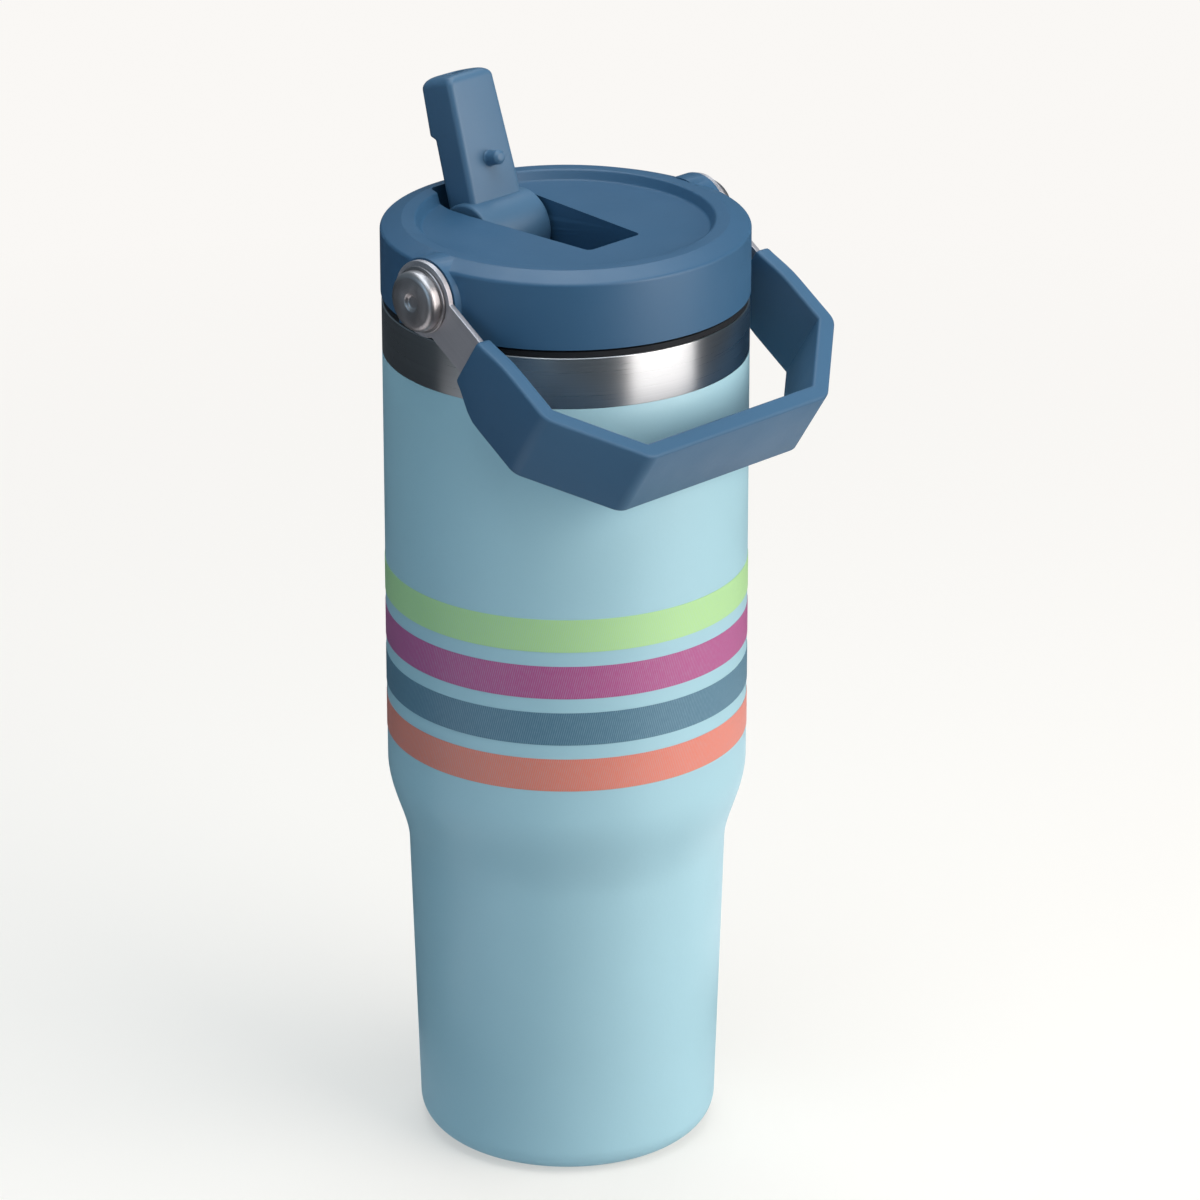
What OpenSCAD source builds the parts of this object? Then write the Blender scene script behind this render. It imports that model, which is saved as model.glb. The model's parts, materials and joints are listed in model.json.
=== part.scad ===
// Insulated flip-straw tumbler: a double-walled steel vessel, a screw-on lid with a
// folding spout and straw, and a carry handle that swings over the lid.
//
// Origin at the centre of the underside, +Z up. Every hinge axis runs along X. The
// handle hangs towards -Y at rest, and the open spout leans towards +Y.
// Each node is drawn in its assembled place, in millimetres.

/* [Vessel] */
// Outer radius of the straight upper body
body_r = 44.8; // [44.5:0.1:45.0]
// Outer radius just under the shoulder
waist_r = 39.6; // [38.6:0.1:40.4]
// Outer radius just above the base corner
heel_r = 37.5; // [36.8:0.1:38.2]
// Radius of the rounded base corner
heel_corner = 7; // [5:0.5:8]
// Height where the shoulder begins
shoulder_z0 = 77; // [70:1:84]
// Height where the shoulder reaches full width
shoulder_z1 = 101; // [96:1:110]
// Height of the top edge of the coated outer shell
coat_top = 208.5; // [205:0.5:210]
// Height of the steel rim
rim_z = 221.2; // [221:0.1:221.5]
// Sheet thickness of shell and liner
sheet = 0.5; // [0.4:0.1:0.7]
// Vacuum gap between shell and liner
vacuum_gap = 1.8; // [1.6:0.1:2]
// Height of the underside of the liner
liner_z = 9; // [8:0.5:12]

/* [Printed bands] */
// Height of the lowest printed band
band_z = 109.3; // [106:0.1:115]
// Height of one printed band
band_h = 8.45; // [5:0.05:11]
// Distance from one printed band to the next
band_step = 12.2; // [11.5:0.1:16]
// Thickness of the ink
ink_t = 0.12; // [0.08:0.02:0.3]

/* [Screw thread] */
// Rise of the lid in one full turn
lead = 8; // [7.5:0.5:9]
// Number of thread starts
starts = 2; // [2:1:2]
// Turns made by each rib on the neck
neck_turns = 1.125; // [0.75:0.125:1.25]
// Turns made by each rib on the plug
plug_turns = 1; // [0.5:0.125:1]

/* [Lid] */
// Outer radius of the lid
lid_r = 45; // [44.8:0.1:45.4]
// Height of the lid's lower edge
skirt_z = 223.3; // [223:0.1:223.4]
// Height of the lid's raised rim
lid_top = 241.5; // [241:0.1:242]
// Depth of the round recess in the top
recess_d = 2.5; // [2:0.1:2.6]
// Radius of the flat floor of the round recess
recess_r = 35; // [34:0.2:36]
// Wall thickness of the lid's skirt
skirt_t = 1.5; // [1.3:0.1:1.8]

/* [Spout] */
// Distance of the spout hinge behind the lid's axis
hinge_y = 24.4; // [24.2:0.1:24.6]
// Height of the spout hinge
hinge_z = 231.5; // [231.3:0.1:231.8]
// Radius of the hinge drum
drum_r = 9.2; // [9.1:0.1:9.6]
// Length of the spout from its hinge
spout_len = 40.2; // [37:0.2:40.4]
// Lean of the open spout behind the vertical
spout_lean = 17.8; // [16:0.1:18]
// Radius of the drinking bore
bore_r = 2.8; // [2.2:0.1:2.8]

/* [Straw] */
// Outer radius of the straw
straw_r = 4.5; // [4.3:0.1:4.8]
// Wall thickness of the straw
straw_t = 0.85; // [0.6:0.05:0.9]
// Height of the straw's lower tip
straw_z = 13; // [13:0.5:20]

/* [Handle] */
// Height of the handle pivots
pivot_z = 232; // [231.5:0.1:232.5]
// Angle that the resting handle hangs below the horizontal
handle_droop = 32.8; // [28:0.1:32.9]
// Distance from the pivots to the outer face of the front bar
handle_reach = 66; // [66:0.5:70]
// Half width of the handle across its side arms
handle_half = 49.4; // [49.2:0.1:49.6]
// Thickness of the grip band
grip_t = 4.4; // [4:0.1:4.5]

/* [Hidden] */
$fn = 96;

// Colours
coat_blue = [0.56, 0.73, 0.78];
lid_blue = [0.24, 0.38, 0.52];
steel = [0.72, 0.72, 0.73];
silicone = [0.16, 0.18, 0.2];
band_colours = [[0.76, 0.4, 0.38], [0.3, 0.42, 0.5], [0.56, 0.27, 0.45], [0.55, 0.73, 0.52]];

// Vessel, derived
blend_steps = 12;
liner_inset = sheet + vacuum_gap;
bore_inset = liner_inset + sheet;
bore_wall = body_r - bore_inset;
liner_corner = 5;
liner_top = 203;
foot_r = heel_r - heel_corner;
disc_r = foot_r - 2.5;
disc_edge = 0.4;
bottom_z = 3.2;
rim_round = 0.3;
mouth_round = 0.4;
rim_web = 1.2;
hole_r = 1.5;
plug_head_r = 5;
getter_x = 16;
getter_r = 4;
getter_h = 2.4;

// Thread, derived
neck_rib_r = bore_wall - 1.2;
plug_r = bore_wall - 2;
plug_rib_r = bore_wall - 0.5;
rib_base_w = 1.9;
rib_tip_w = 1;
rib_root = 0.4;
neck_rib_z = 209;
plug_rib_z = neck_rib_z + 0.8;
plug_phase = 360 * (plug_rib_z - neck_rib_z - lead / (2 * starts)) / lead;
steps_per_turn = 32;
runout_steps = 4;

// Lid, derived
plate_z = lid_top - recess_d;
plate_t = 2.3;
bevel_h = 1.8;
bevel_w = 5.2;
bevel_round = 1;
recess_wall = 1.3;
recess_round = 0.8;
skirt_in = lid_r - skirt_t;
flange_r = skirt_in - 0.2;
flange_z = rim_z + 2.3;
gasket_lip_h = 1.5;
deck_z = 225.3;
deck_t = 2.5;
plug_z = 207;
plug_t = 2;

// Spout well in the lid: an outline that widens from the front towards the hinge
well_floor_t = 2;
well_front = -17;
well_back = hinge_y + 14.2;
well_half_front = 8.7;
well_half_hinge = 11.5;
well_half_back = 8.8;
well_hinge_from = hinge_y - 2;
well_hinge_to = hinge_y + 5;
well_corner = 1.6;
well_wall = 2;
vent_y = hinge_y - 18.3;
valve_r = 3.8;
stem_r = 3.2;
slit_r = 0.6;
lip_r = 4.8;
lip_z = 2.4;
lip_edge = 0.3;
cup_r = 2;
cup_top_r = 3.05;
cup_z = -2.1;
tip_slant = 35;

// Spout, derived
drum_half = 10.1;
drum_gap = 0.4;
pocket_r = drum_r + 0.4;
trough_t = 1.5;
trough_half = drum_half + 1.6;
pin_r = 1.5;
pin_half = 12.8;
root_half = 8.6;
tip_half = 7.4;
front_n = -3.6;
back_n = 7.3;
back_foot = 11;
back_root_n = drum_r - 1.8;
pad_n = 9;
pad_tip_n = 8.4;
pad_top = spout_len - 0.6;
pad_foot = spout_len - 13.6;
pad_slope = 1.6;
tip_round = 3;
long_edge = 1.6;
back_edge = 3;
bore_n = 3;
port_y = hinge_y + bore_n * cos(spout_lean)
    - sqrt(pow(drum_r, 2) - pow(bore_n, 2)) * sin(spout_lean);
seal_r = 5.2;
nub_r = 1.8;
nub_len = 4.4;
nub_tip = 0.8;
nub_foot = 0.4;
nozzle_r = straw_r - straw_t - 0.05;
nozzle_bore_r = 3;
nozzle_z = 209;
straw_top = 217.5;
seal_depth = 0.8;
ear_r = 4.6;

// Handle, derived
boss_face = 45.9;
boss_r = 9.8;
boss_core_r = 6;
boss_root = 40;
strap_t = 1.4;
strap_x = boss_face + 0.2;
strap_w = 11.6;
strap_end_r = 9.4;
strap_len = 44;
shoulder_r = 4;
thread_r = 2.5;
washer_r = 8.2;
washer_x = strap_x + strap_t + 0.1;
washer_t = 0.6;
head_r = 7.4;
head_t = 3;
head_edge = 1.5;
dimple_r = 2.2;
dimple_d = 0.7;
insert_r = 3.8;
insert_x = 38;
grip_start = 20;
grip_corner = 19.5;
grip_mitre = 0.586;
grip_round = 5;
grip_top = 8.4;
grip_bottom = -12;
arm_top = 6.8;
arm_bottom = -6.8;
arm_end_round = 1;
flare_top = 31;
flare_from = 24;
flare_z = -9.2;
flare_bottom = 30;

function mix(a, b, t) = a + (b - a) * t;
function ease(t) = (1 - cos(180 * t)) / 2;
function reversed(list) = [for (i = [len(list) - 1:-1:0]) list[i]];
function arc(c, r, a0, a1, n) =
    [for (i = [0:n]) let (a = mix(a0, a1, i / n)) c + r * [cos(a), sin(a)]];

// The arc of radius r that rounds the corner at p between neighbours a and b
function fillet(a, p, b, r) =
    let (u = (a - p) / norm(a - p), v = (b - p) / norm(b - p),
         half = acos(u * v) / 2, c = p + (u + v) / norm(u + v) * r / sin(half),
         s = p + u * r / tan(half) - c, e = p + v * r / tan(half) - c,
         a0 = atan2(s[1], s[0]), turn = (atan2(e[1], e[0]) - a0 + 540) % 360 - 180)
    arc(c, r, a0, a0 + turn, 6);

// An outline given as [x, y, r] corners, each rounded with its own r where r > 0
function rounded(corners) =
    let (n = len(corners), at = [for (c = corners) [c[0], c[1]]])
    [for (i = [0:n - 1])
        each corners[i][2] > 0
            ? fillet(at[(i + n - 1) % n], at[i], at[(i + 1) % n], corners[i][2])
            : [at[i]]];

// Outer radius of the vessel at height z
function outer_r(z) =
    z <= shoulder_z0 ? mix(heel_r, waist_r, (z - heel_corner) / (shoulder_z0 - heel_corner))
    : z >= shoulder_z1 ? body_r
    : mix(waist_r, body_r, ease((z - shoulder_z0) / (shoulder_z1 - shoulder_z0)));

// The vessel's side from z0 up to z1, moved inwards by inset
function side_line(inset, z0, z1) =
    let (zs = concat([z0], [for (i = [0:blend_steps])
                            mix(shoulder_z0, shoulder_z1, i / blend_steps)], [z1]))
    [for (z = zs) [outer_r(z) - inset, z]];

// ---- vessel ----------------------------------------------------------------

module outer_shell() {
    foot = [foot_r, heel_corner];
    color(coat_blue)
    rotate_extrude()
    polygon(concat(
        [[disc_r, 0]],
        arc(foot, heel_corner, -90, 0, 8),
        side_line(0, heel_corner + 1, coat_top),
        reversed(side_line(sheet, heel_corner + 1, coat_top)),
        arc(foot, heel_corner - sheet, 0, -90, 8),
        [[disc_r, sheet]]));
}

// Bare steel band: joins shell and liner at the mouth and carries the neck thread
module neck_ring() {
    color(steel)
    union() {
        rotate_extrude()
        polygon(concat(
            [[body_r, coat_top]],
            arc([body_r - rim_round, rim_z - rim_round], rim_round, 0, 90, 5),
            arc([bore_wall + mouth_round, rim_z - mouth_round], mouth_round, 90, 180, 5),
            [[bore_wall, liner_top],
             [bore_wall + sheet, liner_top],
             [bore_wall + sheet, rim_z - rim_web],
             [body_r - sheet, rim_z - rim_web],
             [body_r - sheet, coat_top]]));
        thread(bore_wall + rib_root, neck_rib_r, neck_rib_z, neck_turns, 0);
    }
}

module inner_liner() {
    corner = [outer_r(liner_z + liner_corner) - liner_inset - liner_corner,
              liner_z + liner_corner];
    color(steel)
    rotate_extrude()
    polygon(concat(
        [[0, liner_z]],
        arc(corner, liner_corner, -90, 0, 6),
        side_line(liner_inset, liner_z + liner_corner + 1, liner_top),
        reversed(side_line(bore_inset, liner_z + liner_corner + 1, liner_top)),
        arc(corner, liner_corner - sheet, 0, -90, 6),
        [[0, liner_z + sheet]]));
}

// Pressed bottom of the outer shell, with the hole that the air is drawn out through
module shell_bottom() {
    shell_inner = heel_corner - sheet;
    r = foot_r + sqrt(pow(shell_inner, 2) - pow(heel_corner - bottom_z, 2)) - 0.1;
    color(steel)
    difference() {
        translate([0, 0, bottom_z])
        cylinder(r = r, h = sheet);
        translate([0, 0, bottom_z - 1])
        cylinder(r = hole_r, h = sheet + 2);
    }
}

module base_disc() {
    color(steel)
    rotate_extrude()
    polygon([[0, 0], [disc_r - disc_edge, 0], [disc_r, disc_edge], [disc_r, sheet], [0, sheet]]);
}

module vacuum_plug() {
    color("dimgray")
    rotate_extrude()
    polygon([[0, bottom_z - 1], [plug_head_r, bottom_z - 1], [plug_head_r, bottom_z],
             [hole_r, bottom_z], [hole_r, bottom_z + sheet], [0, bottom_z + sheet]]);
}

module getter() {
    color("silver")
    translate([getter_x, 0, bottom_z + sheet])
    cylinder(r = getter_r, h = getter_h);
}

module printed_band(i) {
    color(band_colours[i])
    translate([0, 0, band_z + i * band_step])
    difference() {
        cylinder(r = body_r + ink_t, h = band_h);
        translate([0, 0, -1])
        cylinder(r = body_r, h = band_h + 2);
    }
}

// ---- screw thread ------------------------------------------------------------

// One helical rib. Its section is a trapezium from root_r to tip_r, and the tip fades
// into the wall over runout_steps at both ends.
module rib(root_r, tip_r, z0, turns, turn_from) {
    n = round(turns * steps_per_turn);
    outward = tip_r > root_r;
    sections = [for (i = [0:n])
        let (fade = min(1, (i + 0.4) / runout_steps, (n - i + 0.4) / runout_steps),
             tip = mix(root_r, tip_r, fade),
             w = mix(rib_base_w, rib_tip_w, fade),
             z = z0 + lead * turns * i / n,
             ra = outward ? root_r : tip, wa = outward ? rib_base_w : w,
             rb = outward ? tip : root_r, wb = outward ? w : rib_base_w,
             a = turn_from + 360 * turns * i / n)
        [for (p = [[ra, z - wa / 2], [rb, z - wb / 2], [rb, z + wb / 2], [ra, z + wa / 2]])
            [p[0] * cos(a), p[0] * sin(a), p[1]]]];
    points = [for (section = sections) for (p = section) p];
    sides = [for (i = [0:n - 1]) for (k = [0:3])
        let (m = (k + 1) % 4, lo = 4 * i, hi = 4 * i + 4)
        each [[hi + m, hi + k, lo + k], [hi + m, lo + k, lo + m]]];
    polyhedron(points, concat([[3, 2, 1, 0]], sides, [[0, 1, 2, 3] + [1, 1, 1, 1] * 4 * n]));
}

module thread(root_r, tip_r, z0, turns, turn_from) {
    for (i = [0:starts - 1])
        rib(root_r, tip_r, z0, turns, turn_from + i * 360 / starts);
}

// ---- lid ---------------------------------------------------------------------

// Flat sealing ring with a wider lower lip that covers the steel rim
module lid_gasket() {
    inner = plug_r + 0.3;
    lip = body_r - rim_round;
    color(silicone)
    rotate_extrude()
    polygon([[inner, rim_z], [lip, rim_z], [lip, rim_z + gasket_lip_h],
             [flange_r, rim_z + gasket_lip_h], [flange_r, flange_z], [inner, flange_z]]);
}

// Outline of the spout well, grown by a margin
module well_outline(grow) {
    r = well_corner + grow;
    front = well_half_front + grow;
    mid = well_half_hinge + grow;
    back = well_half_back + grow;
    polygon(rounded([[-front, well_front - grow, r], [front, well_front - grow, r],
                     [mid, well_hinge_from, 0], [mid, well_hinge_to, 0],
                     [back, well_back + grow, r], [-back, well_back + grow, r],
                     [-mid, well_hinge_to, 0], [-mid, well_hinge_from, 0]]));
}

// A cylinder along the spout hinge, centred on the lid
module hinge_rod(r, half) {
    translate([-half, hinge_y, hinge_z])
    rotate([0, 90, 0])
    cylinder(r = r, h = 2 * half);
}

// A cylinder on the handle's pivot axis from |x| = x0 to x1, on the side s = -1 or 1
module pivot_rod(s, r, x0, x1) {
    translate([s > 0 ? x0 : -x1, 0, pivot_z])
    rotate([0, 90, 0])
    cylinder(r = r, h = x1 - x0);
}

module lid_cover() {
    color(lid_blue)
    difference() {
        union() {
            lid_cap();
            translate([0, 0, deck_z])
            linear_extrude(plate_z - deck_z)
            well_outline(well_wall);
            for (s = [-1, 1])
                pivot_boss(s);
        }
        // the well, from its floor up, and the pocket for the drum
        translate([0, 0, deck_z + well_floor_t])
        linear_extrude(20)
        well_outline(0);
        hinge_rod(pocket_r, drum_half + drum_gap);
        hinge_rod(pin_r, pin_half);
        // seats for the vent valve and the pivot inserts
        translate([0, vent_y, deck_z - 1])
        cylinder(r = valve_r, h = 10);
        for (s = [-1, 1])
            pivot_rod(s, insert_r, insert_x, boss_face + 1);
    }
    // ears that hold the hinge pin, inside the well's side walls
    color(lid_blue)
    for (s = [-1, 1])
        difference() {
            translate([s > 0 ? drum_half + drum_gap : -well_half_hinge - 1, hinge_y, hinge_z])
            rotate([0, 90, 0])
            cylinder(r = ear_r, h = well_half_hinge + 1 - drum_half - drum_gap);
            hinge_rod(pin_r, pin_half);
        }
}

// Skirt, chamfered rim and recessed top plate
module lid_cap() {
    under = plate_z - plate_t;
    rotate_extrude()
    polygon(rounded([[skirt_in, skirt_z, 0], [lid_r, skirt_z, 0],
                     [lid_r, lid_top - bevel_h, bevel_round],
                     [lid_r - bevel_w, lid_top, bevel_round],
                     [recess_r + recess_wall, lid_top, recess_round],
                     [recess_r, plate_z, recess_round],
                     [0, plate_z, 0], [0, under, 0], [skirt_in - skirt_t, under, 0],
                     [skirt_in, under - skirt_t, 0]]));
}

// Arched pad that carries one handle pivot, with a solid core behind it
module pivot_boss(s) {
    difference() {
        union() {
            pivot_rod(s, boss_r, boss_root, boss_face);
            translate([s > 0 ? boss_root : -boss_face, -boss_r, skirt_z])
            cube([boss_face - boss_root, 2 * boss_r, pivot_z - skirt_z]);
            pivot_rod(s, boss_core_r, insert_x - 1, boss_face);
        }
        // nothing below the skirt's lower edge, inside the skirt or inside the core
        translate([-lid_r - 2, -lid_r, 0])
        cube([2 * lid_r + 4, 2 * lid_r, skirt_z]);
        cylinder(r = skirt_in, h = deck_z + 0.2);
        translate([0, 0, deck_z])
        cylinder(r = insert_x - 1, h = 30);
    }
}

// Threaded plug under the cover: deck, thread wall, hinge trough and straw nozzle
module lid_plug() {
    color(lid_blue)
    difference() {
        union() {
            translate([0, 0, plug_z])
            cylinder(r = plug_r, h = deck_z - plug_z);
            translate([0, 0, flange_z])
            cylinder(r = flange_r, h = deck_z - flange_z);
            thread(plug_r - rib_root, plug_rib_r, plug_rib_z, plug_turns, plug_phase);
        }
        difference() {
            translate([0, 0, plug_z - 1])
            cylinder(r = plug_r - plug_t, h = deck_z - deck_t - plug_z + 1);
            hinge_rod(pocket_r + trough_t, trough_half);
            translate([0, port_y, nozzle_z])
            cylinder(r = nozzle_r, h = 20);
        }
        hinge_rod(pocket_r, drum_half + drum_gap);
        intersection() {
            hinge_rod(pocket_r + seal_depth, drum_half + drum_gap);
            translate([0, port_y, nozzle_z])
            cylinder(r = seal_r, h = 14);
        }
        translate([0, port_y, nozzle_z - 1])
        cylinder(r = nozzle_bore_r, h = 20);
        translate([0, vent_y, deck_z - deck_t - 1])
        cylinder(r = stem_r, h = deck_t + 2);
    }
}

module spout_pin() {
    color(steel)
    hinge_rod(pin_r, pin_half);
}

// Saddle-shaped seal between the drum and the straw port
module spout_seal() {
    color(silicone)
    difference() {
        intersection() {
            hinge_rod(pocket_r + seal_depth, drum_half);
            translate([0, port_y, nozzle_z])
            cylinder(r = seal_r, h = 14);
        }
        hinge_rod(drum_r + 0.08, drum_half + 1);
        translate([0, port_y, nozzle_z - 1])
        cylinder(r = bore_r, h = 20);
    }
}

// Cup that the spout's nub presses into, with a slit in its floor
module vent_valve() {
    color(silicone)
    translate([0, vent_y, deck_z])
    rotate_extrude()
    polygon([[slit_r, -deck_t], [stem_r, -deck_t], [stem_r, 0], [valve_r, 0],
             [valve_r, well_floor_t], [lip_r, well_floor_t], [lip_r, lip_z - lip_edge],
             [lip_r - lip_edge, lip_z], [cup_top_r, lip_z], [cup_r, cup_z], [slit_r, cup_z]]);
}

module straw() {
    color([0.86, 0.9, 0.92])
    difference() {
        translate([0, port_y, straw_z])
        cylinder(r = straw_r, h = straw_top - straw_z);
        translate([0, port_y, straw_z - 1])
        cylinder(r = straw_r - straw_t, h = straw_top - straw_z + 2);
        // slanted lower tip, so that it can't seal against the liner
        translate([-10, port_y - straw_r, straw_z])
        rotate([tip_slant, 0, 0])
        translate([0, -10, -20])
        cube([20, 40, 20]);
    }
}

module pivot_insert(s) {
    color("goldenrod")
    difference() {
        pivot_rod(s, insert_r, insert_x, boss_face);
        pivot_rod(s, thread_r, insert_x - 1, boss_face + 1);
    }
}

module pivot_washer(s) {
    color(steel)
    difference() {
        pivot_rod(s, washer_r, washer_x, washer_x + washer_t);
        pivot_rod(s, shoulder_r, washer_x - 1, washer_x + washer_t + 1);
    }
}

// Shoulder bolt with a large rounded head and a dimple in its centre
module pivot_bolt(s) {
    head_x = washer_x + washer_t;
    color(steel)
    translate([0, 0, pivot_z])
    rotate([0, s * 90, 0])
    rotate_extrude()
    polygon(concat(
        [[0, insert_x + 0.5], [thread_r, insert_x + 0.5], [thread_r, boss_face],
         [shoulder_r, boss_face], [shoulder_r, head_x], [head_r, head_x]],
        arc([head_r - head_edge, head_x + head_t - head_edge], head_edge, 0, 90, 6),
        [[dimple_r, head_x + head_t], [dimple_r - dimple_d, head_x + head_t - dimple_d],
         [0, head_x + head_t - dimple_d]]));
}

// ---- spout -------------------------------------------------------------------

// Hinge frame of the spout: +Z along it, +Y towards its back
module at_spout() {
    translate([0, hinge_y, hinge_z])
    rotate([-spout_lean, 0, 0])
    children();
}

module spout() {
    color(lid_blue)
    difference() {
        union() {
            at_spout()
            intersection() {
                spout_side();
                spout_front();
                spout_edge(-1);
                spout_edge(1);
            }
            hinge_rod(drum_r, drum_half);
        }
        hinge_rod(pin_r + 0.06, drum_half + 1);
        at_spout()
        translate([0, bore_n, -20])
        cylinder(r = bore_r, h = 80);
    }
}

// Side outline: flat front, domed tip, raised lip pad on the back
module spout_side() {
    rotate([90, 0, 90])
    translate([0, 0, -root_half - 1])
    linear_extrude(2 * root_half + 2)
    polygon(rounded([[front_n, 0, 0], [front_n, spout_len, tip_round],
                     [pad_tip_n, pad_top, tip_round], [pad_n, pad_foot, 0.8],
                     [back_n, pad_foot - pad_slope, 0.8], [back_n, back_foot, 3],
                     [back_root_n, 0, 0]]));
}

// Front outline: sides that close in towards a rounded tip
module spout_front() {
    rotate([90, 0, 0])
    translate([0, 0, -20])
    linear_extrude(40)
    polygon(rounded([[-root_half, 0, 0], [root_half, 0, 0],
                     [tip_half, spout_len, tip_round], [-tip_half, spout_len, tip_round]]));
}

// One tapered half of the spout's cross-section, with its long edges rounded
module spout_edge(s) {
    translate([s * root_half, 0, 0])
    rotate([0, -s * atan((root_half - tip_half) / spout_len), 0])
    translate([0, 0, -1])
    linear_extrude(spout_len + 3)
    polygon(rounded([[0, front_n, long_edge], [0, pad_n, back_edge],
                     [-s * 3 * root_half, pad_n, 0], [-s * 3 * root_half, front_n, 0]]));
}

module vent_nub() {
    color(silicone)
    at_spout()
    translate([0, front_n, hinge_y - vent_y])
    rotate([90, 0, 0])
    rotate_extrude()
    polygon([[0, 0], [nub_r + nub_foot, 0], [nub_r, nub_foot], [nub_r, nub_len - nub_tip],
             [nub_r - nub_tip, nub_len], [0, nub_len]]);
}

// ---- handle ------------------------------------------------------------------

// Handle frame: origin on the pivot axis, -Y away from it, +Z out of the top edge
module at_handle() {
    translate([0, 0, pivot_z])
    rotate([handle_droop, 0, 0])
    children();
}

// Grip outline in the handle's own plane, inset from the outside
module grip_outline(inset) {
    half = handle_half - inset;
    reach = handle_reach - inset;
    side = reach - grip_corner + inset * grip_mitre;
    bar = half - grip_corner + inset * grip_mitre;
    r = grip_round - inset;
    polygon(rounded([[-half, 0, 0], [-half, -side, r], [-bar, -reach, r],
                     [bar, -reach, r], [half, -side, r], [half, 0, 0]]));
}

module handle_grip() {
    color(lid_blue)
    at_handle()
    difference() {
        intersection() {
            translate([0, 0, grip_bottom])
            linear_extrude(grip_top - grip_bottom)
            difference() {
                grip_outline(0);
                grip_outline(grip_t);
            }
            grip_side();
        }
        for (s = [-1, 1])
            strap_plate(s);
    }
}

// Side outline of the grip: narrow at the straps, full width along the front bar
module grip_side() {
    rotate([90, 0, 90])
    translate([0, 0, -handle_half - 1])
    linear_extrude(2 * handle_half + 2)
    polygon(rounded([[-grip_start, arm_top, arm_end_round],
                     [-grip_start, arm_bottom, arm_end_round],
                     [-flare_from, flare_z, 3], [-flare_bottom, grip_bottom, 4],
                     [-handle_reach - 1, grip_bottom, 0], [-handle_reach - 1, grip_top, 0],
                     [-flare_top, grip_top, 3]]));
}

// The plate of one strap, in the handle's frame
module strap_plate(s) {
    x = s > 0 ? strap_x : -strap_x - strap_t;
    translate([x, 0, 0])
    rotate([0, 90, 0])
    cylinder(r = strap_end_r, h = strap_t);
    translate([x, -strap_len, -strap_w / 2])
    cube([strap_t, strap_len, strap_w]);
}

module handle_strap(s) {
    color(steel)
    difference() {
        at_handle()
        strap_plate(s);
        pivot_rod(s, shoulder_r + 0.05, strap_x - 1, strap_x + strap_t + 1);
    }
}

// ---- assembly ----------------------------------------------------------------

outer_shell();
neck_ring();
inner_liner();
shell_bottom();
base_disc();
vacuum_plug();
getter();
printed_band(0);  // band_coral
printed_band(1);  // band_navy
printed_band(2);  // band_magenta
printed_band(3);  // band_green
lid_gasket();
lid_cover();
lid_plug();
spout_pin();
spout_seal();
vent_valve();
straw();
pivot_insert(-1);  // pivot_insert_left
pivot_insert(1);  // pivot_insert_right
pivot_washer(-1);  // pivot_washer_left
pivot_washer(1);  // pivot_washer_right
pivot_bolt(-1);  // pivot_bolt_left
pivot_bolt(1);  // pivot_bolt_right
spout();
vent_nub();
handle_grip();
handle_strap(-1);  // handle_strap_left
handle_strap(1);  // handle_strap_right
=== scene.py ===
"""Looks of the insulated flip-straw tumbler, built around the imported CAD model.

Lengths are metres, in the frame of the CAD model. The shell is spun here from its profile, and
the spout and the grip are lofted. The other pieces are cleaned copies of their CAD solids, with
their edges rounded where they show.
"""
import json
import math

import bmesh
import bpy
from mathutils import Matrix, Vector


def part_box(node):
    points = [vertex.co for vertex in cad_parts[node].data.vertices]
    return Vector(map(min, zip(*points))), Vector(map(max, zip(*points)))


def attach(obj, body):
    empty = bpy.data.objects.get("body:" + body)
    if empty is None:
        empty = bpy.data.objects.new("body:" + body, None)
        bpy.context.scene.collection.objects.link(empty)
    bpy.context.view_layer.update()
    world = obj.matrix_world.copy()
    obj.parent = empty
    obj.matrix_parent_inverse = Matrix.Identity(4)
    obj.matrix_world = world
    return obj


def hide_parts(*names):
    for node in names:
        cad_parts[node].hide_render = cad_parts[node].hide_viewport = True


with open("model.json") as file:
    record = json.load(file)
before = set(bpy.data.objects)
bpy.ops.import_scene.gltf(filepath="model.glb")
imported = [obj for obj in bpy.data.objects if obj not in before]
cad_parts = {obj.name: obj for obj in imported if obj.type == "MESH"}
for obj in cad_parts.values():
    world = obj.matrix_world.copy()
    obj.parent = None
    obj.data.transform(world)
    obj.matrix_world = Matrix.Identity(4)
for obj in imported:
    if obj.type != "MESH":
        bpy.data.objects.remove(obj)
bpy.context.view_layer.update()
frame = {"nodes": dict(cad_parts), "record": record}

MM = 0.001
SLOT_OF = {row["node"]: row["material_slot"] for row in frame["record"]["subparts"]}
BODY_OF = {node: body for body, nodes in frame["record"]["behaviour"]["bodies"].items()
           for node in nodes}

PIVOT_Z, DROOP = 232 * MM, math.radians(32.8)


def ease(t):
    """0 to 1 with a smooth start and stop."""
    t = min(1, max(0, t))
    return (1 - math.cos(math.pi * t)) / 2


def between(a, b, t):
    return a + (b - a) * t


# ---- camera, lights and stage ----------------------------------------------------------

CAMERA_AZIMUTH = math.radians(-44.5)
CAMERA_ELEVATION = math.radians(22.36)
CAMERA_DISTANCE = 1.4883
CAMERA_LENS = 180
AIM_HEIGHT = 0.1412
AIM_RIGHT = 0.0083

TOWARDS = Vector((math.sin(CAMERA_AZIMUTH), -math.cos(CAMERA_AZIMUTH), 0))
RIGHT = Vector((math.cos(CAMERA_AZIMUTH), math.sin(CAMERA_AZIMUTH), 0))
UP = Vector((0, 0, 1))

KEY_ANGLE = math.radians(60)
BESIDE_ANGLE = math.radians(96)
LEFT_ANGLE = math.radians(-48)


def around(angle, distance, height):
    """A point at an angle to the right of the camera, seen from the tumbler."""
    return (TOWARDS * math.cos(angle) + RIGHT * math.sin(angle)) * distance + UP * height


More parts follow.
